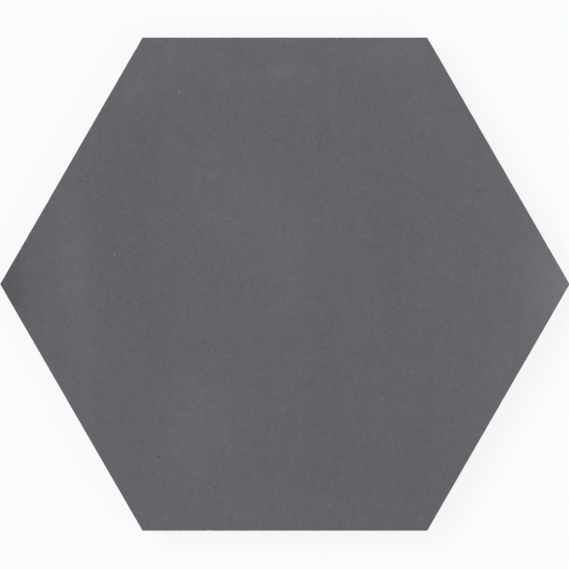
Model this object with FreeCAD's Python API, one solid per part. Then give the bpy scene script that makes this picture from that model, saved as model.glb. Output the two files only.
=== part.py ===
"""A regular hexagonal floor tile, pressed in one piece from through-coloured cement mortar.

The tile lies as it is laid: wearing face up, keyed back down on z = 0, two opposite corners on
the X axis and two opposite sides across the Y axis. The origin is the middle of the back.
All sizes are in millimetres, and angles in degrees.
"""

import FreeCAD
import Part
import math
import os

# The slab. Its sides lean in from the face to the back, as the mould's do, so that laid tiles
# meet at their faces and the joint between them opens downwards for the grout.
ACROSS_FLATS = 200.0
THICKNESS = 16.0
SIDE_DRAFT = 2.0
FACE_ARRIS = 0.25
FACE_CORNER_RADIUS = 0.15
BACK_ARRIS_RADIUS = 0.8

# The keyed back: a honeycomb of shallow hexagonal pockets inside a plain rim, which the
# bedding mortar fills. The rim and the ribs between the pockets are the flat that it stands on.
RIM_WIDTH = 16.0
RIB_WIDTH = 6.0
POCKET_RINGS = 3
POCKET_DEPTH = 1.5
POCKET_WALL_DRAFT = 20.0
POCKET_CORNER_RADIUS = 2.0
POCKET_FLOOR_BEVEL = 0.5

SIXTH_TURN = math.radians(60)
PARTS_FOLDER = "parts"


def slab_width(height):
    """The slab's width across flats at a height. It is widest at the foot of the face's arris."""
    widest_height = THICKNESS - FACE_ARRIS
    return ACROSS_FLATS + 2 * (height - widest_height) * math.tan(math.radians(SIDE_DRAFT))


def pocket_mouth_width():
    """The width across flats of a pocket's mouth, with which the honeycomb fills the rim.

    On the way from the middle of the tile to the rim there are the rows of pockets and ribs,
    one row for each ring, and then the outer corner of the last row's pockets.
    """
    room = slab_width(0.0) / 2 - RIM_WIDTH
    rows = POCKET_RINGS * math.sin(SIXTH_TURN)
    return (room - rows * RIB_WIDTH) / (rows + 1 / math.sqrt(3))


def pocket_width(height):
    """A pocket's width across flats at a height. It narrows from its mouth up to its floor."""
    return pocket_mouth_width() - 2 * height * math.tan(math.radians(POCKET_WALL_DRAFT))


def hexagon_corners(across_flats, height, first_corner_angle):
    """The six corners of a level hexagon round the Z axis, counter-clockwise seen from above."""
    corner_distance = across_flats / math.sqrt(3)
    angles = [math.radians(first_corner_angle) + k * SIXTH_TURN for k in range(6)]
    return [
        FreeCAD.Vector(corner_distance * math.cos(a), corner_distance * math.sin(a), height)
        for a in angles
    ]


def flat_face(corners):
    """The planar face inside a closed run of corners."""
    return Part.Face(Part.makePolygon(corners + corners[:1]))


def drafted_block(width_at, bottom, top, first_corner_angle=0.0):
    """A hexagonal block with flat leaning sides, as wide at each height as width_at says."""
    lower = hexagon_corners(width_at(bottom), bottom, first_corner_angle)
    upper = hexagon_corners(width_at(top), top, first_corner_angle)
    faces = [flat_face(lower[::-1]), flat_face(upper)]
    for k in range(6):
        after = (k + 1) % 6
        faces.append(flat_face([lower[k], lower[after], upper[after], upper[k]]))
    return Part.Solid(Part.makeShell(faces))


def is_level(edge):
    """Whether an edge's two ends lie at the same height, but for rounding."""
    return math.isclose(edge.Vertexes[0].Z, edge.Vertexes[-1].Z, abs_tol=1e-6)


def level_edges(solid, height):
    """The edges of a solid that lie at one height, to a thousandth of a millimetre."""
    return [e for e in solid.Edges if is_level(e) and abs(e.Vertexes[0].Z - height) < 1e-3]


def corner_edges(block):
    """The six edges of a block that run from its bottom to its top."""
    return [e for e in block.Edges if not is_level(e)]


def slab():
    """The plain tile, with its corners and arrises eased, before the back is keyed.

    The arris runs round each corner of the face at an even width, which sets the sides' radius.
    """
    side_corner_radius = FACE_CORNER_RADIUS + FACE_ARRIS
    block = drafted_block(slab_width, bottom=0.0, top=THICKNESS)
    block = block.makeFillet(side_corner_radius, corner_edges(block))
    block = block.makeChamfer(FACE_ARRIS, level_edges(block, THICKNESS))
    return block.makeFillet(BACK_ARRIS_RADIUS, level_edges(block, 0.0))


def pocket():
    """The space of one pocket at the middle of the back, with its walls run on down below it.

    Its flats face its neighbours, which lie towards the corners of the tile.
    """
    space = drafted_block(
        pocket_width, bottom=-POCKET_DEPTH, top=POCKET_DEPTH, first_corner_angle=30.0
    )
    space = space.makeFillet(POCKET_CORNER_RADIUS, corner_edges(space))
    return space.makeChamfer(POCKET_FLOOR_BEVEL, level_edges(space, POCKET_DEPTH))


def pocket_centres():
    """The middles of the pockets: a honeycomb of whole rings round the middle of the tile."""
    pitch = pocket_mouth_width() + RIB_WIDTH
    row_spacing = pitch * math.sin(SIXTH_TURN)
    centres = []
    for row in range(-POCKET_RINGS, POCKET_RINGS + 1):
        pockets_in_row = 2 * POCKET_RINGS + 1 - abs(row)
        first_x = -pitch * (pockets_in_row - 1) / 2
        for place in range(pockets_in_row):
            centres.append(FreeCAD.Vector(first_x + place * pitch, row * row_spacing, 0))
    return centres


def hexagon_tile():
    """The whole tile: the slab with the pockets pressed into its back."""
    space = pocket()
    return slab().cut([space.translated(centre) for centre in pocket_centres()])


def main():
    """Builds the tile, writes it as one STEP file and prints what it measures."""
    os.makedirs(PARTS_FOLDER, exist_ok=True)
    tile = hexagon_tile()
    tile.exportStep(os.path.join(PARTS_FOLDER, "hexagon_tile.step"))
    size = tile.optimalBoundingBox(False)
    print("hexagon_tile:", len(tile.Solids), "solid,", len(tile.Faces), "faces")
    print("  size", round(size.XLength, 3), round(size.YLength, 3), round(size.ZLength, 3))
    print("  volume", round(tile.Volume / 1000, 2), "cubic centimetres, valid:", tile.isValid())
    print("  pocket mouth", round(pocket_mouth_width(), 3), "across flats")


main()
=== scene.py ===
"""The hexagonal cement floor tile, dressed and photographed from straight above.

The tile is one pressed piece, so it is one closed mesh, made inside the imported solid's box: a
wearing face with pinholes and flush sand grains, crisp arrises, drafted sides with a few
bug-holes, and a honeycomb-keyed back. Its places are millimetres in the solid's own frame, with
X through two corners and Z out of the face, until the finished mesh is scaled to metres.
"""

import logging
import math
import random
from collections.abc import Iterable
from dataclasses import dataclass, field
from enum import Enum, IntEnum

import bmesh
import bpy
from bmesh.types import BMesh, BMEdge, BMFace, BMVert
from bpy.types import NodeSocket
from mathutils import Matrix, Vector, kdtree, noise


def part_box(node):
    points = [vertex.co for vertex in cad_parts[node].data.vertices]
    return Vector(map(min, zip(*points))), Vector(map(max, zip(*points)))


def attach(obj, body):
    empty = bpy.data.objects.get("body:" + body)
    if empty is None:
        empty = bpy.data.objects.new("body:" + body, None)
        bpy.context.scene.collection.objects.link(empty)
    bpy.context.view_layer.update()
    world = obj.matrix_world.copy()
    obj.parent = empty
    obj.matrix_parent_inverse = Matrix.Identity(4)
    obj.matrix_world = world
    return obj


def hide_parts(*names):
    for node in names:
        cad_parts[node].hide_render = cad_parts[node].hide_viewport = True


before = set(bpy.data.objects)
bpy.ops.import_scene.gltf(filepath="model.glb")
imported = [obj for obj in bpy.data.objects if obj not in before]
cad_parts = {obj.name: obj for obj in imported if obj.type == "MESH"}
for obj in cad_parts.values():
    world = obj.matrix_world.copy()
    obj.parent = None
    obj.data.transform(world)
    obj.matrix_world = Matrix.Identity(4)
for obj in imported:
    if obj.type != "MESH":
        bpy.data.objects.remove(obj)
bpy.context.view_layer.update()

MM = 0.001
NODE = "hexagon_tile"
BODY = "root"
SIXTH_TURN = math.radians(60)
TWELFTH_TURN = math.radians(30)
ON_PLANE = 1e-3
ON_EDGE = 1e-4
GRID_EDGES = 6

Colour = tuple[float, float, float]

log = logging.getLogger("hexagon_tile")


class Skin(Enum):
    """The stretches of the tile's skin. The value is the material slot on the mesh."""

    FACE = 0
    SIDE = 1
    BACK = 2
    # The pinholes' walls and floors, whose darker finish is painted shade.
    PORE = 3
    GRAIN = 4


def hexagon_matrix(corner_angle: float, centre: Vector = Vector()) -> Matrix:
    """Places a hexagon of bmesh.ops.create_circle, which has its first corner on +Y.

    Args:
        corner_angle: Where the first corner goes, in degrees from +X.
        centre: The middle of the hexagon, in millimetres.

    Returns:
        The matrix that puts it there.
    """
    turn = math.radians(corner_angle - 90)
    return Matrix.Translation(centre) @ Matrix.Rotation(turn, 4, "Z")


def apothem_through(point: Vector) -> float:
    """Returns the apothem of the upright hexagonal prism round the Z axis that holds a point."""
    turns = [TWELFTH_TURN + k * SIXTH_TURN for k in range(3)]
    return max(abs(point.x * math.cos(a) + point.y * math.sin(a)) for a in turns)


def ripple(point: Vector, size: float, seed: float) -> float:
    """Returns a soft random height from 0 to 1, whose bumps are about size millimetres long."""
    at = point / size + Vector((seed, 2 * seed, -seed))
    return min(max(0.5 + 0.5 * noise.fractal(at, 1.0, 2.0, 3), 0.0), 1.0)


def border_edges(bm: BMesh) -> list[BMEdge]:
    """Returns the edges that have a face on one side only."""
    return [e for e in bm.edges if e.is_boundary]


def sort_by_place(bm: BMesh) -> None:
    """Sorts a mesh's vertices and faces by place, as Blender's bevel leaves a chance order."""
    verts = sorted(bm.verts, key=lambda v: tuple(v.co))
    faces = sorted(bm.faces, key=lambda f: tuple(f.calc_center_median()))
    for elements, ranked in ((bm.verts, verts), (bm.faces, faces)):
        rank = {element: number for number, element in enumerate(ranked)}
        elements.sort(key=rank.get)
        elements.index_update()


def outward_at(point: Vector) -> Vector:
    """Returns the level direction in which the nearest of the six sides faces."""
    turn = round((math.atan2(point.y, point.x) - TWELFTH_TURN) / SIXTH_TURN)
    angle = TWELFTH_TURN + turn * SIXTH_TURN
    return Vector((math.cos(angle), math.sin(angle), 0))


@dataclass(frozen=True)
class Mark:
    """A pinhole or a flush sand grain in the wearing face, in millimetres."""

    x: float
    y: float
    radius: float


@dataclass
class Pitting:
    """Small round facets let into a skin, each opened out of one of the skin's vertices.

    They are holes where depth_share is above 0, and flush grains where it is 0. A hole narrows
    in steps, which are shares of its depth, and at each by a share of its radius. Its outline
    strays by a share of the radius, with so many swerves to a millimetre.
    """

    skin: Skin
    placed: tuple[Mark, ...]
    scattered: int
    radii: tuple[float, ...]
    spacing: float
    depth_share: float
    seed: int
    steps: tuple[float, ...] = (0.65, 0.35)
    narrowing: float = 0.3
    straying: float = 0.35
    swerves: float = 2.3

    def choose(self, verts: list[BMVert]) -> dict[BMVert, float]:
        """Moves the vertex nearest to each placed mark onto it, and scatters the other marks.

        Args:
            verts: The vertices that may be opened.

        Returns:
            The radius of the mark that each chosen vertex gets.
        """
        tree = kdtree.KDTree(len(verts))
        for index, vert in enumerate(verts):
            tree.insert(vert.co, index)
        tree.balance()
        chosen: dict[BMVert, float] = {}
        crowded: set[int] = set()
        for mark in self.placed:
            _, index, _ = tree.find((mark.x, mark.y, verts[0].co.z))
            vert = verts[index]
            crowded.update(i for _, i, _ in tree.find_range(vert.co, self.spacing))
            vert.co.x = mark.x
            vert.co.y = mark.y
            chosen[vert] = mark.radius
        chance = random.Random(self.seed)
        wanted = len(self.placed) + self.scattered
        for index in chance.sample(range(len(verts)), len(verts)):
            if len(chosen) >= wanted:
                break
            if index not in crowded:
                chosen[verts[index]] = chance.choice(self.radii)
                near = tree.find_range(verts[index].co, self.spacing)
                crowded.update(i for _, i, _ in near)
        return chosen

    def open(self, bm: BMesh, verts: list[BMVert]) -> int:
        """Opens the marks in a mesh.

        Args:
            bm: The mesh.
            verts: The vertices that may be opened.

        Returns:
            How many marks were opened.
        """
        chosen = self.choose(verts)
        floors: dict[float, list[BMFace]] = {}
        for radius in sorted(set(chosen.values())):
            cut = bmesh.ops.bevel(
                bm, geom=[v for v, size in chosen.items() if size == radius],
                offset=radius, offset_type="OFFSET", segments=1, profile=0.5,
                affect="VERTICES", material=self.skin.value,
            )
            floors[radius] = cut["faces"]
        # A dict keeps its order. A set of edges has another order in each run.
        rims = dict.fromkeys(
            e for group in floors.values() for floor in group for e in floor.edges
        )
        bmesh.ops.subdivide_edges(bm, edges=list(rims), cuts=1)
        for radius, group in floors.items():
            for floor in group:
                self.round_off(floor, radius)
            for step in self.steps if self.depth_share else ():
                bmesh.ops.inset_individual(
                    bm, faces=group, thickness=self.narrowing * radius,
                    depth=-step * self.depth_share * radius, use_even_offset=True,
                )
        return len(chosen)

    def round_off(self, floor: BMFace, radius: float) -> None:
        """Moves the corners of a facet onto an uneven circle."""
        middle = floor.calc_center_median()
        for vert in floor.verts:
            spoke = (vert.co - middle).normalized()
            swerve = self.straying * noise.noise(vert.co * self.swerves)
            vert.co = middle + spoke * radius * (1 + swerve)


@dataclass
class WearingFace:
    """The face that is walked on: a level hexagon of fine triangles with a faint press ripple."""

    apothem: float
    height: float
    cuts: int = 99
    ripple_size: float = 26.0
    ripple_depth: float = 0.03
    ripple_seed: float = 3.7
    calm_border: float = 6.0

    def lay(self, bm: BMesh) -> None:
        """Makes the face as an open sheet in an empty mesh."""
        radius = self.apothem / math.cos(TWELFTH_TURN)
        place = hexagon_matrix(0.0, Vector((0, 0, self.height)))
        bmesh.ops.create_circle(bm, cap_ends=True, segments=6, radius=radius, matrix=place)
        bmesh.ops.poke(bm, faces=bm.faces[:])
        bmesh.ops.subdivide_edges(bm, edges=bm.edges[:], cuts=self.cuts, use_grid_fill=True)
        bmesh.ops.subdivide_edges(bm, edges=border_edges(bm), cuts=1)
        bmesh.ops.triangulate(bm, faces=[f for f in bm.faces if len(f.verts) > 3])
        for face in bm.faces:
            face.material_index = Skin.FACE.value

    def sink(self, verts: Iterable[BMVert]) -> None:
        """Lets the face dip a few hundredths of a millimetre between its level borders."""
        for vert in verts:
            inward = self.apothem - apothem_through(vert.co)
            fade = min(max(inward / self.calm_border, 0.0), 1.0)
            dip = self.ripple_depth * ripple(vert.co, self.ripple_size, self.ripple_seed)
            vert.co.z -= fade * dip


@dataclass(frozen=True)
class Nick:
    """A chip in the face's arris: the place of its middle, its half length and its depth."""

    x: float
    y: float
    half_length: float
    depth: float

    def pull(self, point: Vector) -> float:
        """Returns how far the arris is set back at a point by this chip."""
        away = math.hypot(point.x - self.x, point.y - self.y) / self.half_length
        return self.depth * max(1 - away * away, 0.0)


@dataclass
class Walls:
    """The face's arris, the six drafted sides and the rounded arris at the back."""

    apothem: float
    thickness: float
    draft: float
    face_arris: float
    face_corner_radius: float
    back_arris_radius: float
    rows: int = 18
    corner_steps: int = 3
    round_steps: int = 4
    wave_size: float = 14.0
    wave_depth: float = 0.05
    wave_seed: float = 5.9
    crumb_size: float = 1.3
    crumb_depth: float = 0.09
    crumb_seed: float = 8.3
    worn_strip: float = 1.0
    unpitted_edge: float = 1.0
    unpitted_corner: float = 2.5

    def side_apothem(self, height: float) -> float:
        """Returns how far the flat of a side is from the Z axis at a height."""
        widest = self.thickness - self.face_arris
        return self.apothem - (widest - height) * math.tan(math.radians(self.draft))

    def rings(self) -> list[tuple[float, float]]:
        """Returns the apothem and height of each ring below the face's border, downwards."""
        top = self.thickness - self.face_arris
        turn_in = self.back_arris_radius
        heights = [top + (turn_in - top) * k / self.rows for k in range(self.rows + 1)]
        found = [(self.side_apothem(z), z) for z in heights]
        centre = self.side_apothem(turn_in) - turn_in
        for step in range(1, self.round_steps + 1):
            angle = math.radians(90) * step / self.round_steps
            found.append(
                (centre + turn_in * math.cos(angle), turn_in - turn_in * math.sin(angle))
            )
        return found

    def foot_apothem(self) -> float:
        """Returns the apothem of the last ring, in the plane of the back."""
        return self.rings()[-1][0]

    def drop(self, bm: BMesh) -> None:
        """Extrudes the border of the face down to the plane of the back, ring by ring."""
        apothem, height = self.apothem - self.face_arris, self.thickness
        edges = border_edges(bm)
        corner_edges: list[BMEdge] = []
        for next_apothem, next_height in self.rings():
            made = bmesh.ops.extrude_edge_only(bm, edges=edges)["geom"]
            verts = [g for g in made if isinstance(g, BMVert)]
            share = next_apothem / apothem
            bmesh.ops.scale(bm, vec=(share, share, 1), verts=verts)
            bmesh.ops.translate(bm, vec=(0, 0, next_height - height), verts=verts)
            skin = Skin.FACE if height == self.thickness else Skin.SIDE
            for face in (g for g in made if isinstance(g, BMFace)):
                face.material_index = skin.value
            corner_edges += [e for v in verts if self.at_corner(v.co) for e in v.link_edges]
            edges = border_edges(bm)
            apothem, height = next_apothem, next_height
        self.round_corners(bm, corner_edges)
        walls = [f for f in bm.faces if f.material_index == Skin.SIDE.value]
        bmesh.ops.triangulate(bm, faces=walls, quad_method="FIXED")

    def at_corner(self, point: Vector) -> bool:
        """Tells whether a point of the walls is on one of the six upright edges."""
        turn = math.atan2(point.y, point.x) / SIXTH_TURN
        return abs(turn - round(turn)) < ON_EDGE

    def round_corners(self, bm: BMesh, edges: list[BMEdge]) -> None:
        """Rounds the six upright edges, below the corners of the face."""
        upright = dict.fromkeys(e for e in edges if all(self.at_corner(v.co) for v in e.verts))
        radius = self.face_corner_radius + self.face_arris
        bmesh.ops.bevel(
            bm, geom=list(upright), offset=radius * math.tan(TWELFTH_TURN),
            offset_type="OFFSET", segments=self.corner_steps, profile=0.5,
            affect="EDGES", material=-1,
        )

    def pitted(self, bm: BMesh) -> list[BMVert]:
        """Returns the vertices of the sides where a bug-hole may open, away from every edge."""
        low = self.back_arris_radius + self.unpitted_edge
        high = self.thickness - self.face_arris - self.unpitted_edge
        half_side = self.apothem * math.tan(TWELFTH_TURN)
        found = []
        for vert in bm.verts:
            if low < vert.co.z < high and len(vert.link_edges) == GRID_EDGES:
                along = vert.co.cross(outward_at(vert.co)).z
                if abs(along) < half_side - self.unpitted_corner:
                    found.append(vert)
        return found

    def wear(self, bm: BMesh) -> None:
        """Makes the sides wavy and the face's arris crumbly, always inwards."""
        arris_foot = self.thickness - self.face_arris
        inner = self.apothem - self.worn_strip
        for vert in bm.verts:
            if vert.co.z < ON_PLANE or apothem_through(vert.co) < inner:
                continue
            outward = outward_at(vert.co)
            if vert.co.z < arris_foot - ON_PLANE:
                fade = min(vert.co.z, arris_foot - vert.co.z, 1.0)
                wave = ripple(vert.co, self.wave_size, self.wave_seed)
                vert.co -= outward * (self.wave_depth * fade * wave)
            elif apothem_through(vert.co) > self.apothem - self.face_arris - ON_PLANE:
                grain = ripple(vert.co, self.crumb_size, self.crumb_seed)
                crumb = self.crumb_depth * grain ** 2
                crumb += sum(nick.pull(vert.co) for nick in ARRIS_NICKS)
                vert.co -= (outward + Vector((0, 0, 1))) * crumb


@dataclass
class KeyedBack:
    """The bedding face: a plain rim round a honeycomb of shallow drafted pockets."""

    foot_apothem: float
    side_foot: float
    rim_width: float
    rib_width: float
    pocket_rings: int
    pocket_depth: float
    wall_draft: float
    corner_radius: float
    mouth_easing: float = 0.3
    floor_easing: float = 0.6
    border_strip: float = 2.4
    longest_edge: float = 3.0
    sand_depth: float = 0.09
    sand_size: float = 2.6
    sand_seed: float = 11.3
    corner_steps: int = 4
    easing_steps: int = 2
    brink_turn: float = 20.0
    spare_rings: int = 2
    weld: float = 0.01

    def mouth_width(self) -> float:
        """Returns a pocket's width across flats, with which the honeycomb fills the rim."""
        rows = self.pocket_rings * math.sin(SIXTH_TURN)
        room = self.side_foot - self.rim_width
        return (room - rows * self.rib_width) / (rows + 1 / math.sqrt(3))

    def pitch(self) -> float:
        """Returns how far the middles of two neighbouring pockets are apart."""
        return self.mouth_width() + self.rib_width

    def cell_centres(self, rings: int) -> list[Vector]:
        """Returns the middles of the cells in whole rings round the middle of the back.

        Args:
            rings: How many rings there are.

        Returns:
            The middles, in millimetres.
        """
        pitch = self.pitch()
        centres = []
        for row in range(-rings, rings + 1):
            in_row = 2 * rings + 1 - abs(row)
            for place in range(in_row):
                x = pitch * (place - (in_row - 1) / 2)
                centres.append(Vector((x, row * pitch * math.sin(SIXTH_TURN), 0)))
        return centres

    def press(self) -> bpy.types.Mesh:
        """Makes the back inside its border strip, facing down, with its ribs at height 0."""
        bm = bmesh.new()
        self.lay_cells(bm)
        self.press_pockets(bm)
        self.trim(bm)
        self.refine(bm)
        self.roughen(bm)
        bmesh.ops.rotate(bm, matrix=Matrix.Rotation(math.radians(180), 3, "X"), verts=bm.verts)
        for face in bm.faces:
            face.material_index = Skin.BACK.value
        mesh = bpy.data.meshes.new("keyed_back")
        bm.to_mesh(mesh)
        bm.free()
        return mesh

    def lay_cells(self, bm: BMesh) -> None:
        """Tiles a sheet larger than the back with the honeycomb's cells, facing up."""
        for centre in self.cell_centres(self.pocket_rings + self.spare_rings):
            bmesh.ops.create_circle(
                bm, cap_ends=True, segments=6, radius=self.pitch() / math.sqrt(3),
                matrix=hexagon_matrix(90.0, centre),
            )
        bmesh.ops.remove_doubles(bm, verts=bm.verts[:], dist=self.weld)

    def press_pockets(self, bm: BMesh) -> None:
        """Insets the inner cells to the pockets' mouths, sinks the floors and eases the edges."""
        inner = [f for f in bm.faces if self.in_field(f.calc_center_median())]
        bmesh.ops.inset_individual(
            bm, faces=inner, thickness=self.rib_width / 2, use_even_offset=True
        )
        lean = math.tan(math.radians(self.wall_draft))
        bmesh.ops.inset_individual(
            bm, faces=inner, thickness=self.pocket_depth * lean, depth=-self.pocket_depth,
            use_even_offset=True,
        )
        steep = self.pocket_depth / 2
        wall_corners = [
            e for e in bm.edges if abs(e.verts[0].co.z - e.verts[1].co.z) > steep
        ]
        bmesh.ops.bevel(
            bm, geom=wall_corners, offset=self.corner_radius * math.tan(TWELFTH_TURN),
            offset_type="OFFSET", segments=self.corner_steps, profile=0.5,
            affect="EDGES", material=-1,
        )
        for height, easing in ((0.0, self.mouth_easing), (-self.pocket_depth, self.floor_easing)):
            bmesh.ops.bevel(
                bm, geom=self.brink(bm, height), offset=easing, offset_type="OFFSET",
                segments=self.easing_steps, profile=0.5, affect="EDGES", material=-1,
            )

    def in_field(self, centre: Vector) -> bool:
        """Tells whether a cell is in one of the rings that are pressed into pockets."""
        gaps = (centre - c for c in self.cell_centres(self.pocket_rings))
        return any(gap.length < self.pitch() / 2 for gap in gaps)

    def brink(self, bm: BMesh, height: float) -> list[BMEdge]:
        """Returns the level edges at a height where the sheet turns into or out of a wall."""
        least = math.radians(self.brink_turn)
        return [
            e for e in bm.edges
            if all(abs(v.co.z - height) < ON_PLANE for v in e.verts)
            and len(e.link_faces) == 2 and e.calc_face_angle() > least
        ]

    def trim(self, bm: BMesh) -> None:
        """Cuts the sheet off along the six sides, a strip inside the foot of the walls."""
        reach = self.foot_apothem - self.border_strip
        for k in range(6):
            angle = TWELFTH_TURN + k * SIXTH_TURN
            outward = Vector((math.cos(angle), math.sin(angle), 0))
            bmesh.ops.bisect_plane(
                bm, geom=bm.verts[:] + bm.edges[:] + bm.faces[:], dist=self.weld,
                plane_co=outward * reach, plane_no=outward, clear_outer=True,
            )

    def refine(self, bm: BMesh) -> None:
        """Splits the sheet into triangles with no edge over the longest allowed."""
        bmesh.ops.triangulate(bm, faces=bm.faces[:])
        while long := [e for e in bm.edges if e.calc_length() > self.longest_edge]:
            bmesh.ops.subdivide_edges(bm, edges=long, cuts=1)
            bmesh.ops.triangulate(bm, faces=[f for f in bm.faces if len(f.verts) > 3])

    def roughen(self, bm: BMesh) -> None:
        """Sinks the sheet by a sandy unevenness, which leaves its highest points in plane."""
        for vert in bm.verts:
            if not vert.is_boundary:
                sand = ripple(vert.co, self.sand_size, self.sand_seed)
                vert.co.z -= self.sand_depth * sand ** 2

    def join(self, bm: BMesh) -> None:
        """Adds the back to a mesh that is open at the plane of the back, and closes the gap."""
        mesh = self.press()
        bm.from_mesh(mesh)
        bpy.data.meshes.remove(mesh)
        strip = bmesh.ops.triangle_fill(bm, use_beauty=True, edges=border_edges(bm))
        for face in (g for g in strip["geom"] if isinstance(g, BMFace)):
            face.material_index = Skin.BACK.value


@dataclass
class SkinMap:
    """The flat layout of the skin: face at the lower left, back above it, then the six sides."""

    apothem: float
    thickness: float
    name: str = "OFBake"
    face_width: float = 0.80
    back_width: float = 0.335
    strip_width: float = 0.31
    gap: float = 0.006
    turn_in: float = 1.0

    def lay(self, bm: BMesh) -> None:
        """Gives every corner of every face its place in the layout.

        Args:
            bm: The closed skin, in millimetres.
        """
        layer = bm.loops.layers.uv.new(self.name)
        for face in bm.faces:
            middle = face.calc_center_median()
            skin = Skin(face.material_index)
            for loop in face.loops:
                if skin is Skin.SIDE:
                    loop[layer].uv = self.on_strip(loop.vert.co, middle)
                elif skin is Skin.BACK:
                    loop[layer].uv = self.on_back(loop.vert.co)
                else:
                    loop[layer].uv = self.on_face(loop.vert.co)

    def corner(self) -> float:
        """Returns how far a corner of the tile is from its middle, which is a side's length."""
        return self.apothem / math.cos(TWELFTH_TURN)

    def on_face(self, point: Vector) -> tuple[float, float]:
        """Returns the layout place of a point of the face."""
        scale = self.face_width / (2 * self.corner())
        return (
            self.gap + (point.x + self.corner()) * scale,
            self.gap + (point.y + self.apothem) * scale,
        )

    def on_back(self, point: Vector) -> tuple[float, float]:
        """Returns the layout place of a point of the back, which is seen from below."""
        scale = self.back_width / (2 * self.corner())
        return (
            self.gap + (self.corner() - point.x) * scale,
            1 - self.gap + (point.y - self.apothem) * scale,
        )

    def on_strip(self, point: Vector, middle: Vector) -> tuple[float, float]:
        """Returns the layout place of a point of the side that a face's middle belongs to."""
        outward = outward_at(middle)
        number = round(math.atan2(outward.y, outward.x) / SIXTH_TURN - 0.5) % 6
        scale = self.strip_width / self.corner()
        along = outward.cross(point).z + self.corner() / 2
        drop = min(outward.dot(point) - self.apothem + self.turn_in, 0.0)
        row = self.thickness * scale + self.gap
        return (
            self.back_width + 3 * self.gap + along * scale,
            1 - (number + 1) * row + (point.z + drop) * scale,
        )


@dataclass
class PressedTile:
    """The whole tile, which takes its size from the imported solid's box."""

    side_draft: float = 2.0
    face_arris: float = 0.25
    face_corner_radius: float = 0.15
    back_arris_radius: float = 0.8
    rim_width: float = 16.0
    rib_width: float = 6.0
    pocket_rings: int = 3
    pocket_depth: float = 1.5
    pocket_wall_draft: float = 20.0
    pocket_corner_radius: float = 2.0
    clearance: float = 0.01
    crease_angle: float = 25.0
    unpitted_border: float = 3.0
    apothem: float = field(init=False)
    thickness: float = field(init=False)

    def __post_init__(self) -> None:
        """Reads the apothem and the thickness from the solid's box, and stays just inside it."""
        low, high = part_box(NODE)
        self.apothem = (high.y - low.y) / 2 / MM - self.clearance
        self.thickness = (high.z - low.z) / MM

    def build(self) -> bpy.types.Object:
        """Makes the closed mesh, checks it and puts it in the scene.

        Returns:
            The tile's object, at the origin, in metres.
        """
        bm = bmesh.new()
        face = WearingFace(self.apothem - self.face_arris, self.thickness)
        face.lay(bm)
        limit = face.apothem - self.unpitted_border
        for pitting in FACE_PITTING:
            inner = [v for v in bm.verts if apothem_through(v.co) < limit]
            count = pitting.open(bm, [v for v in inner if len(v.link_edges) == GRID_EDGES])
            log.info("face: %d marks of kind %s", count, pitting.skin.name.lower())
        face.sink(bm.verts)
        walls = Walls(
            self.apothem, self.thickness, self.side_draft, self.face_arris,
            self.face_corner_radius, self.back_arris_radius,
        )
        walls.drop(bm)
        walls.wear(bm)
        log.info("sides: %d bug-holes", SIDE_PITTING.open(bm, walls.pitted(bm)))
        back = KeyedBack(
            walls.foot_apothem(), walls.side_apothem(0.0), self.rim_width, self.rib_width,
            self.pocket_rings, self.pocket_depth, self.pocket_wall_draft,
            self.pocket_corner_radius,
        )
        back.join(bm)
        SkinMap(self.apothem, self.thickness).lay(bm)
        return self.finish(bm)

    def finish(self, bm: BMesh) -> bpy.types.Object:
        """Turns the skin outwards, creases it, scales it to metres and links its object.

        Args:
            bm: The closed skin, in millimetres, which is used up.

        Returns:
            The tile's object.
        """
        bmesh.ops.recalc_face_normals(bm, faces=bm.faces[:])
        crease = math.radians(self.crease_angle)
        for edge in bm.edges:
            sharp = edge.is_manifold and edge.calc_face_angle() > crease
            edge.smooth = not sharp
        for face in bm.faces:
            face.smooth = True
        sort_by_place(bm)
        bmesh.ops.scale(bm, vec=(MM, MM, MM), verts=bm.verts)
        holes = sum(not e.is_manifold for e in bm.edges)
        log.info("tile: %d faces, %d edges that are not manifold", len(bm.faces), holes)
        mesh = bpy.data.meshes.new("tile")
        bm.to_mesh(mesh)
        bm.free()
        tile = bpy.data.objects.new("tile", mesh)
        bpy.context.scene.collection.objects.link(tile)
        return tile


ARRIS_NICKS = (
    Nick(-95.8, 33.0, 0.9, 0.22), Nick(-60.5, 95.4, 0.7, 0.10), Nick(21.0, 99.8, 0.6, 0.10),
    Nick(88.5, -47.0, 0.8, 0.12), Nick(-31.0, -99.8, 0.9, 0.12), Nick(-99.5, -27.5, 0.6, 0.10),
)
FACE_PINHOLES = (
    Mark(-83, 42, 0.38), Mark(-80, 44, 0.32), Mark(-63, 13, 0.32), Mark(-58, 24, 0.28),
    Mark(-65, -48, 0.28), Mark(-66, -56, 0.36), Mark(-51, -70, 0.37), Mark(-45, -75, 0.28),
    Mark(-4, -1, 0.32), Mark(-22, 25, 0.28), Mark(-92, -26, 0.24), Mark(-60, 85, 0.30),
    Mark(-53, 85, 0.25), Mark(-14, 85, 0.25), Mark(-28, -27, 0.28), Mark(-23, -34, 0.25),
    Mark(-86, -38, 0.25), Mark(-73, -30, 0.25), Mark(26, -64, 0.25), Mark(37, 95, 0.28),
    Mark(-68, 15, 0.28),
)
FACE_GRAINS = (
    Mark(-43, 78, 0.42), Mark(-69, 12, 0.42), Mark(24, 39, 0.35), Mark(-56, -5, 0.36),
    Mark(-97, 12, 0.38), Mark(-65, -2, 0.30), Mark(-48, -95, 0.38), Mark(18, -90, 0.42),
    Mark(55, -95, 0.30), Mark(-34, 29, 0.30), Mark(92, -32, 0.30), Mark(-60, -8, 0.36),
    Mark(-70, -5, 0.28), Mark(-23, 39, 0.28), Mark(-87, 27, 0.28), Mark(-9, 34, 0.28),
    Mark(-38, -80, 0.28),
)
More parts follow.
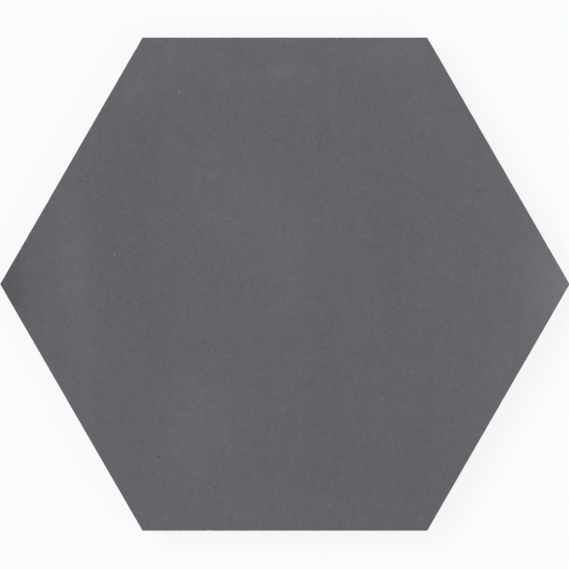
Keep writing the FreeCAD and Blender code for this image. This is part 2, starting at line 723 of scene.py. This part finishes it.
FACE_PITTING = (
    Pitting(Skin.PORE, FACE_PINHOLES, 90, (0.12, 0.16, 0.20), 5.0, 0.9, 7),
    Pitting(Skin.GRAIN, FACE_GRAINS, 60, (0.12, 0.16, 0.20), 5.0, 0.0, 8),
)
SIDE_PITTING = Pitting(Skin.SIDE, (), 110, (0.20, 0.30, 0.40, 0.50), 3.5, 1.1, 9)


class Nodes:
    """A material's node tree, with short calls for the nodes that the finishes share."""

    def __init__(self, name: str) -> None:
        """Starts a material with one Principled shader."""
        self.material = bpy.data.materials.new(name)
        self.material.use_nodes = True
        self.tree = self.material.node_tree
        self.shader = self.tree.nodes["Principled BSDF"]
        place = self.add("ShaderNodeTexCoord").outputs["Object"]
        scale = self.add("ShaderNodeMapping")
        scale.inputs["Scale"].default_value = (1 / MM,) * 3
        self.link(place, scale.inputs["Vector"])
        self.millimetres = scale.outputs["Vector"]

    def add(self, kind: str, **settings: object) -> bpy.types.Node:
        """Adds a node and gives it its settings."""
        node = self.tree.nodes.new(kind)
        for name, value in settings.items():
            setattr(node, name, value)
        return node

    def link(self, start: NodeSocket, end: NodeSocket) -> None:
        """Joins an output to an input."""
        self.tree.links.new(start, end)

    def maths(self, operation: str, *values: NodeSocket | float) -> NodeSocket:
        """Adds a Math node.

        Args:
            operation: The node's operation.
            values: Its inputs in order, each a socket or a number.

        Returns:
            Its output.
        """
        node = self.add("ShaderNodeMath", operation=operation)
        for socket, value in zip(node.inputs, values):
            if isinstance(value, NodeSocket):
                self.link(value, socket)
            else:
                socket.default_value = value
        return node.outputs[0]

    def swing(
        self, size: float, detail: float = 2.0, stretch: tuple[float, float, float] = (1, 1, 1),
        shift: float = 0.0,
    ) -> NodeSocket:
        """Adds a noise that swings about 0.

        Args:
            size: How long its bumps are, in millimetres.
            detail: How many finer layers it has.
            stretch: How many times longer the bumps are along each axis.
            shift: Moves the pattern, so that two noises differ.

        Returns:
            Its height, most of it between -0.3 and 0.3.
        """
        lay = self.add("ShaderNodeMapping")
        lay.inputs["Location"].default_value = (shift, 2 * shift, -shift)
        lay.inputs["Scale"].default_value = [1 / s for s in stretch]
        self.link(self.millimetres, lay.inputs["Vector"])
        texture = self.add("ShaderNodeTexNoise")
        texture.inputs["Scale"].default_value = 1 / size
        texture.inputs["Detail"].default_value = detail
        self.link(lay.outputs["Vector"], texture.inputs["Vector"])
        return self.maths("SUBTRACT", texture.outputs["Fac"], 0.5)

    def warped(self, size: float, reach: float) -> NodeSocket:
        """Shifts the place to and fro, so that round patches on it get uneven outlines.

        Args:
            size: How long the swerves are, in millimetres.
            reach: How far they go, in millimetres.

        Returns:
            The shifted place, in millimetres.
        """
        texture = self.add("ShaderNodeTexNoise")
        texture.inputs["Scale"].default_value = 1 / size
        self.link(self.millimetres, texture.inputs["Vector"])
        shift = self.add("ShaderNodeVectorMath", operation="SUBTRACT")
        shift.inputs[1].default_value = (0.5, 0.5, 0.5)
        self.link(texture.outputs["Color"], shift.inputs[0])
        place = self.add("ShaderNodeVectorMath", operation="MULTIPLY_ADD")
        place.inputs[1].default_value = (reach, reach, reach)
        self.link(shift.outputs["Vector"], place.inputs[0])
        self.link(self.millimetres, place.inputs[2])
        return place.outputs["Vector"]

    def cells(self, size: float, swerve: float) -> bpy.types.Node:
        """Adds a texture of uneven cells, each with a colour of its own.

        Args:
            size: How wide a cell is, in millimetres.
            swerve: How long the swerves in the outlines are, in millimetres.

        Returns:
            The texture's node.
        """
        texture = self.add("ShaderNodeTexVoronoi")
        texture.inputs["Scale"].default_value = 1 / size
        self.link(self.warped(swerve, swerve / 2), texture.inputs["Vector"])
        return texture

    def mixed(
        self, share: NodeSocket, first: NodeSocket | Colour, second: NodeSocket | Colour
    ) -> NodeSocket:
        """Mixes two colours.

        Args:
            share: How much of the second there is.
            first: A socket, or a colour as three numbers.
            second: The same.

        Returns:
            The mixed colour's output.
        """
        node = self.add("ShaderNodeMix", data_type="RGBA")
        self.link(share, node.inputs["Factor"])
        for socket, colour in zip((node.inputs[6], node.inputs[7]), (first, second)):
            if isinstance(colour, NodeSocket):
                self.link(colour, socket)
            else:
                socket.default_value = (*colour, 1)
        return node.outputs[2]

    def ease(self, value: NodeSocket, start: float, end: float, levels: float) -> NodeSocket:
        """Returns levels that rise smoothly from 0 to their full height between two values."""
        node = self.add("ShaderNodeMapRange", interpolation_type="SMOOTHSTEP")
        node.inputs["From Min"].default_value = start
        node.inputs["From Max"].default_value = end
        node.inputs["To Max"].default_value = levels
        self.link(value, node.inputs["Value"])
        return node.outputs["Result"]

    def total(self, parts: list[NodeSocket]) -> NodeSocket:
        """Returns the sum of several outputs."""
        result = parts[0]
        for part in parts[1:]:
            result = self.maths("ADD", result, part)
        return result


@dataclass(frozen=True)
class Cloud:
    """A soft patch of the face, paler or darker than the rest, in millimetres and levels."""

    x: float
    y: float
    half_x: float
    half_y: float
    levels: float
    turn: float = 0.0


# Soft patches of the face's tone. Four of them, at the two ends, are painted highlight and
# painted shade.
FACE_CLOUDS = {
    # Glare pales the right corner and the right end: these two patches are painted highlight.
    "painted glare on the right corner": Cloud(123, 0, 33, 60, 19),
    "painted glare over the right end": Cloud(122, 0, 72, 130, 6.8),
    "pale upper right side": Cloud(72, 74, 34, 76, 3.2, 30),
    "pale lower right side": Cloud(88, -50, 28, 54, 2.6, -30),
    "pale right of the middle": Cloud(62, 10, 22, 60, 0.8),
    "pale top": Cloud(-5, 106, 112, 34, 3),
    "pale patch, top left": Cloud(-55, 87, 36, 14, 2.4, 12),
    "spot below it": Cloud(-61.5, 78, 7, 8, 3.5),
    "pale top right": Cloud(46, 98, 30, 24, 3),
    "smear at the top": Cloud(0, 86, 13, 5, 4.6),
    "tail of the smear": Cloud(-19, 84, 16, 3.5, 3.5),
    "pale middle": Cloud(-12, 30, 50, 30, 3.2, -42),
    "foot of the middle": Cloud(0, 2, 17, 34, 2.4),
    "pale column": Cloud(28, 10, 9, 80, 0.9),
    "dark column": Cloud(44, 0, 9, 54, -0.8),
    "pale upper middle": Cloud(16, 70, 28, 50, 1.3),
    "dark strip, top": Cloud(15, 60, 6, 48, -1.9),
    "dark strip, bottom": Cloud(16, -54, 13, 56, -1.6),
    "dark lower right": Cloud(44, -72, 40, 40, -1.2),
    "pale lower left": Cloud(-36, -58, 27, 42, 3.8),
    "pale bottom": Cloud(-16, -102, 64, 34, 2.4),
    "dark left zone": Cloud(-66, 30, 22, 80, -3),
    "head of the zone": Cloud(-57, 57, 15, 30, -1.6),
    "its foot": Cloud(-52, -14, 24, 50, -1.8),
    "pale left band": Cloud(-86, 8, 11, 62, 4.4, 6),
    "end of the band": Cloud(-84, -48, 8, 30, 2.8, 16),
    # Light falls off towards the left corner: these two patches are painted shade.
    "painted shade on the left corner": Cloud(-121, 0, 27, 44, -9),
    "painted shade round the left corner": Cloud(-112, -4, 36, 58, -2.6),
}
FACE_BLUSHES = {
    "violet left": Cloud(-60, -6, 27, 58, 0.85),
    "violet above it": Cloud(-68, 38, 20, 34, 0.4),
    "violet top left": Cloud(-67, 62, 26, 24, 0.85),
    "violet top right": Cloud(60, 68, 28, 26, 0.7),
    "violet right": Cloud(62, 4, 42, 26, 0.4),
}


@dataclass(frozen=True)
class Swing:
    """One layer of noise: its size in millimetres and its strength, in levels for a tone."""

    size: float
    strength: float
    detail: float = 1.0
    stretch: tuple[float, float, float] = (1, 1, 1)


class Shift(IntEnum):
    """Where each kind of noise is taken from, and the step between layers of one kind."""

    FINE = 5
    SWELL = 7
    TONE = 17
    DULLNESS = 31
    BLOOM = 61
    HUE = 71
    STEP = 6


@dataclass(frozen=True)
class CementFinish:
    """Pigmented pressed cement, whose tone varies by a few levels on an even grey.

    A level is one step of the 8-bit grey that the even tone renders as.
    """

    name: str
    swings: tuple[Swing, ...]
    clouds: tuple[Cloud, ...] = ()
    blushes: tuple[Cloud, ...] = ()
    lift: float = 0.0
    speck_spacing: float = 2.2
    speck_share: float = 0.19
    speck_swerve: float = 0.4
    speck_levels: float = 0.0
    speck_least: float = 0.01
    speck_core: float = 0.7
    bloom: float = 0.0
    bloom_height: float = 8.0
    bloom_edge: Swing = Swing(6, 9, 2)
    roughness: float = 0.72
    dullness: tuple[Swing, ...] = (Swing(9, 0.25, 3), Swing(1.2, 0.3, 2))
    gloss: float = 0.2
    grit_size: float = 0.42
    grit_levels: float = 5.0
    grain_height: float = 0.8
    fine_size: float = 2.5
    swell: Swing = Swing(5, 2.0, 2)
    relief: float = 0.05
    colour: Colour = (0.127, 0.1285, 0.1435)
    warm: Colour = (0.0137, -0.0074, 0.0023)
    hue_drift: Swing = Swing(13, 2.8, 3)
    hue_middle: float = 0.28
    level_share: float = 0.021
    span: float = 30.0
    warp: float = 9.0
    cloud_swerve: float = 26.0
    blush_swerve: float = 14.0

    def material(self) -> bpy.types.Material:
        """Builds the material.

        Returns:
            The material, ready for a slot.
        """
        nodes = Nodes(self.name)
        share = nodes.maths("MULTIPLY_ADD", self.tone(nodes), 0.5 / self.span, 0.5)
        cool, warm = (self.pigment(nodes, share, lean) for lean in (-1, 1))
        hue = nodes.mixed(self.hue(nodes), cool, warm)
        nodes.link(hue, nodes.shader.inputs["Base Color"])
        dull = self.roughness
        for order, swing in enumerate(self.dullness):
            dull = self.layer(nodes, swing, Shift.DULLNESS + Shift.STEP * order, dull)
        nodes.link(dull, nodes.shader.inputs["Roughness"])
        nodes.shader.inputs["Specular IOR Level"].default_value = self.gloss
        bump = nodes.add("ShaderNodeBump")
        bump.inputs["Strength"].default_value = 1.0
        bump.inputs["Distance"].default_value = self.relief * MM
        nodes.link(self.height(nodes), bump.inputs["Height"])
        nodes.link(bump.outputs["Normal"], nodes.shader.inputs["Normal"])
        return nodes.material

    def layer(
        self, nodes: Nodes, swing: Swing, shift: float, base: NodeSocket | float = 0.0
    ) -> NodeSocket:
        """Adds one layer of noise to a value.

        Args:
            nodes: The material's nodes.
            swing: The layer.
            shift: Where its noise is taken from.
            base: The value.

        Returns:
            The sum.
        """
        height = nodes.swing(swing.size, swing.detail, swing.stretch, shift)
        return nodes.maths("MULTIPLY_ADD", height, swing.strength, base)

    def height(self, nodes: Nodes) -> NodeSocket:
        """Heaps up round grains, fine roughness and a slow press ripple, for the bump.

        Args:
            nodes: The material's nodes.

        Returns:
            The height, as a share of the relief.
        """
        grains = nodes.cells(self.grit_size, self.grit_size / 2).outputs["Distance"]
        parts = [
            nodes.maths("MULTIPLY", grains, -self.grain_height),
            nodes.swing(self.fine_size * self.grit_size, 3, shift=Shift.FINE),
            self.layer(nodes, self.swell, Shift.SWELL),
        ]
        return nodes.total(parts)

    def pigment(self, nodes: Nodes, share: NodeSocket, lean: int) -> NodeSocket:
        """Returns the cement's colour for a tone, leaning to one end of its hues.

        Args:
            nodes: The material's nodes.
            share: The tone, from 0 for the darkest to 1 for the palest.
            lean: 1 for the warm end or -1 for the cool end.

        Returns:
            The colour.
        """
        hue = [c * (1 + lean * w) for c, w in zip(self.colour, self.warm)]
        swing = self.span * self.level_share
        dark, pale = (tuple(c * (1 + end * swing) for c in hue) for end in (-1, 1))
        return nodes.mixed(share, dark, pale)

    def hue(self, nodes: Nodes) -> NodeSocket:
        """Returns where the pigment stands between its cool end, 0, and its warm end, 1."""
        drift = self.layer(nodes, self.hue_drift, Shift.HUE, self.hue_middle)
        place = nodes.warped(self.blush_swerve, self.warp) if self.blushes else None
        return nodes.total([drift, *(self.cloud(nodes, cloud, place) for cloud in self.blushes)])

    def tone(self, nodes: Nodes) -> NodeSocket:
        """Adds up the tone's random layers, clouds, specks and bloom. Some of the face's clouds
        are painted highlight and painted shade.

        Args:
            nodes: The material's nodes.

        Returns:
            The tone in levels above the even grey.
        """
        parts = [
            self.layer(nodes, swing, Shift.TONE + Shift.STEP * order)
            for order, swing in enumerate(self.swings)
        ]
        shades = nodes.add("ShaderNodeSeparateColor")
        grit = nodes.cells(self.grit_size, self.grit_size / 2)
        nodes.link(grit.outputs["Color"], shades.inputs["Color"])
        shade = nodes.maths("SUBTRACT", shades.outputs["Blue"], 0.5)
        parts.append(nodes.maths("MULTIPLY", shade, self.grit_levels))
        place = nodes.warped(self.cloud_swerve, self.warp) if self.clouds else None
        parts += [self.cloud(nodes, cloud, place) for cloud in self.clouds]
        if self.speck_levels:
            parts.append(self.specks(nodes))
        if self.bloom:
            parts.append(self.dust(nodes))
        return nodes.maths("ADD", nodes.total(parts), self.lift)

    def cloud(self, nodes: Nodes, cloud: Cloud, place: NodeSocket) -> NodeSocket:
        """Adds one soft patch.

        Args:
            nodes: The material's nodes.
            cloud: The patch.
            place: The warped place on the tile, in millimetres.

        Returns:
            Its levels, which fade to 0 at its rim.
        """
        local = nodes.add("ShaderNodeMapping", vector_type="TEXTURE")
        local.inputs["Location"].default_value = (cloud.x, cloud.y, 0)
        local.inputs["Rotation"].default_value = (0, 0, math.radians(cloud.turn))
        local.inputs["Scale"].default_value = (cloud.half_x, cloud.half_y, 1e4)
        nodes.link(place, local.inputs["Vector"])
        ball = nodes.add("ShaderNodeTexGradient", gradient_type="SPHERICAL")
        nodes.link(local.outputs["Vector"], ball.inputs["Vector"])
        return nodes.ease(ball.outputs["Fac"], 0, 1, cloud.levels)

    def specks(self, nodes: Nodes) -> NodeSocket:
        """Scatters fine sand grains, some paler than the cement and some darker.

        Args:
            nodes: The material's nodes.

        Returns:
            Their levels, and 0 between them.
        """
        cells = nodes.cells(self.speck_spacing, self.speck_swerve)
        chance = nodes.add("ShaderNodeSeparateColor")
        nodes.link(cells.outputs["Color"], chance.inputs["Color"])
        size = nodes.maths(
            "MULTIPLY_ADD", chance.outputs["Red"], self.speck_share, self.speck_least
        )
        reach = nodes.maths("DIVIDE", cells.outputs["Distance"], size)
        disc = nodes.ease(reach, 1.0, self.speck_core, self.speck_levels)
        shade = nodes.maths("MULTIPLY_ADD", chance.outputs["Green"], 2.0, -1.0)
        return nodes.maths("MULTIPLY", disc, shade)

    def dust(self, nodes: Nodes) -> NodeSocket:
        """Makes the foot of the sides paler, as bare cement is near the bed.

        Args:
            nodes: The material's nodes.

        Returns:
            Its levels, which fade upwards.
        """
        axes = nodes.add("ShaderNodeSeparateXYZ")
        nodes.link(nodes.millimetres, axes.inputs["Vector"])
        edge = self.layer(nodes, self.bloom_edge, Shift.BLOOM, axes.outputs["Z"])
        return nodes.ease(edge, self.bloom_height, 0, self.bloom)


FACE_SWINGS = (
    Swing(46, 2), Swing(9, 0.6), Swing(4.6, 1.3), Swing(2.2, 8), Swing(1.1, 16, 3),
    Swing(5, 3, stretch=(1, 16, 1)),
)
ROUGH_SWINGS = (Swing(30, 6), Swing(8, 9, 2), Swing(2.4, 12), Swing(1, 16))
FINISHES = {
    Skin.FACE: CementFinish(
        "face_cement", FACE_SWINGS, tuple(FACE_CLOUDS.values()), tuple(FACE_BLUSHES.values()),
        speck_levels=14,
    ),
    Skin.SIDE: CementFinish(
        "side_cement", ROUGH_SWINGS, lift=2, speck_levels=18, bloom=7, roughness=0.85,
        grit_levels=9, relief=0.12,
    ),
    Skin.BACK: CementFinish(
        "back_cement", ROUGH_SWINGS, lift=6, speck_levels=24, roughness=0.92,
        grit_size=0.5, grit_levels=12, relief=0.2,
    ),
    # The pinholes' finish is darker than the face: painted shade in the pinholes.
    Skin.PORE: CementFinish("pore_painted_shade", (Swing(1.1, 6),), lift=-6, roughness=0.9),
    Skin.GRAIN: CementFinish("sand_grain", (Swing(1.1, 6),), lift=20, roughness=0.6),
}


@dataclass
class Studio:
    """A pale floor, soft lamps and a long lens that looks straight down on the tile."""

    face_height: float
    frame_width: float = 230.62
    tile_right: float = 0.15
    tile_up: float = 0.15
    lens: float = 200.0
    sensor: float = 36.0
    floor_half: float = 3000.0
    floor_gap: float = 0.05
    floor_grey: float = 0.9
    floor_glow: float = 0.86
    shadow_reach: tuple[float, float] = (105.0, 420.0)
    world_light: float = 0.445
    clip_end: float = 100.0

    def set_up(self) -> None:
        """Makes the floor, the world, the lamps and the camera."""
        self.floor()
        self.world()
        self.lamp("key", Vector((-900, 500, 1600)), 1000, 15.6)
        self.lamp("fill", Vector((1100, -700, 1300)), 1200, 5.7)
        self.camera()
        bpy.context.scene.view_settings.view_transform = "Standard"

    def floor(self) -> None:
        """Lays the pale floor just under the tile, which turns white beyond the shadow."""
        bm = bmesh.new()
        bmesh.ops.create_grid(bm, x_segments=1, y_segments=1, size=self.floor_half * MM)
        bmesh.ops.translate(bm, vec=(0, 0, -self.floor_gap * MM), verts=bm.verts)
        mesh = bpy.data.meshes.new("floor")
        bm.to_mesh(mesh)
        bm.free()
        floor = bpy.data.objects.new("floor", mesh)
        bpy.context.scene.collection.objects.link(floor)
        mesh.materials.append(self.floor_material())

    def floor_material(self) -> bpy.types.Material:
        """Builds the floor's white, part of which takes the shadow and part of which glows.

        Returns:
            The material, whose glowing share grows to the whole beyond the shadow's reach.
        """
        nodes = Nodes("floor_white")
        nodes.shader.inputs["Base Color"].default_value = (*[self.floor_grey] * 3, 1)
        nodes.shader.inputs["Roughness"].default_value = 1.0
        nodes.shader.inputs["Specular IOR Level"].default_value = 0.0
        away = nodes.add("ShaderNodeVectorMath", operation="LENGTH")
        nodes.link(nodes.millimetres, away.inputs[0])
        fade = nodes.add("ShaderNodeMapRange", interpolation_type="SMOOTHSTEP")
        for name, value in zip(("From Min", "From Max"), self.shadow_reach):
            fade.inputs[name].default_value = value
        fade.inputs["To Min"].default_value = self.floor_glow
        nodes.link(away.outputs["Value"], fade.inputs["Value"])
        share = nodes.maths("MULTIPLY", self.shown(nodes.tree), fade.outputs["Result"])
        mix = nodes.add("ShaderNodeMixShader")
        glow = nodes.add("ShaderNodeEmission")
        for start, end in zip((share, nodes.shader.outputs[0], glow.outputs[0]), mix.inputs):
            nodes.link(start, end)
        nodes.link(mix.outputs[0], nodes.tree.nodes["Material Output"].inputs["Surface"])
        return nodes.material

    def world(self) -> None:
        """Lights the scene evenly from all round, and shows white behind it."""
        world = bpy.data.worlds.new("studio")
        world.use_nodes = True
        bpy.context.scene.world = world
        nodes, links = world.node_tree.nodes, world.node_tree.links
        background = nodes["Background"]
        background.inputs["Color"].default_value = (1, 1, 1, 1)
        strength = nodes.new("ShaderNodeMapRange")
        strength.inputs["To Min"].default_value = self.world_light
        strength.inputs["To Max"].default_value = 1.0
        links.new(self.shown(world.node_tree), strength.inputs["Value"])
        links.new(strength.outputs["Result"], background.inputs["Strength"])

    def shown(self, tree: bpy.types.NodeTree) -> NodeSocket:
        """Tells the rays that show the background from those that light the scene.

        Args:
            tree: The material's or the world's nodes.

        Returns:
            1 for a ray from the camera, off a gloss or through glass, and 0 for any other.
        """
        path = tree.nodes.new("ShaderNodeLightPath")
        result = path.outputs["Is Camera Ray"]
        for kind in ("Is Glossy Ray", "Is Transmission Ray"):
            either = tree.nodes.new("ShaderNodeMath")
            either.operation = "MAXIMUM"
            tree.links.new(result, either.inputs[0])
            tree.links.new(path.outputs[kind], either.inputs[1])
            result = either.outputs[0]
        return result

    def lamp(self, name: str, place: Vector, size: float, power: float) -> None:
        """Hangs a square soft lamp that faces the tile.

        Args:
            name: What it is called.
            place: Where it hangs, in millimetres.
            size: How wide it is, in millimetres.
            power: Its power in watts.
        """
        light = bpy.data.lights.new(name, "AREA")
        light.shape = "SQUARE"
        light.size = size * MM
        light.energy = power
        lamp = bpy.data.objects.new(name, light)
        lamp.location = place * MM
        lamp.rotation_euler = (-place).to_track_quat("-Z", "Y").to_euler()
        bpy.context.scene.collection.objects.link(lamp)

    def camera(self) -> None:
        """Puts the camera above the tile, which then fills the frame from corner to corner."""
        lens = bpy.data.cameras.new("camera")
        lens.lens = self.lens
        lens.sensor_width = self.sensor
        lens.clip_end = self.clip_end
        camera = bpy.data.objects.new("camera", lens)
        distance = self.frame_width * self.lens / self.sensor
        place = Vector((-self.tile_right, -self.tile_up, self.face_height + distance))
        camera.location = place * MM
        bpy.context.scene.collection.objects.link(camera)
        bpy.context.scene.camera = camera


def dress(tile: bpy.types.Object) -> None:
    """Gives the tile's mesh its finishes, one slot for each stretch of skin."""
    for skin in Skin:
        tile.data.materials.append(FINISHES[skin].material())
        log.info("finish: %s", FINISHES[skin].name)


def main() -> None:
    """Builds the tile and the studio, and reports each piece."""
    logging.basicConfig(level=logging.INFO, format="%(name)s: %(message)s")
    body = PressedTile()
    tile = body.build()
    dress(tile)
    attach(tile, BODY)
    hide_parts(NODE)
    log.info("%s rides on %s", tile.name, BODY)
    Studio(body.thickness).set_up()


if __name__ == "__main__":
    main()
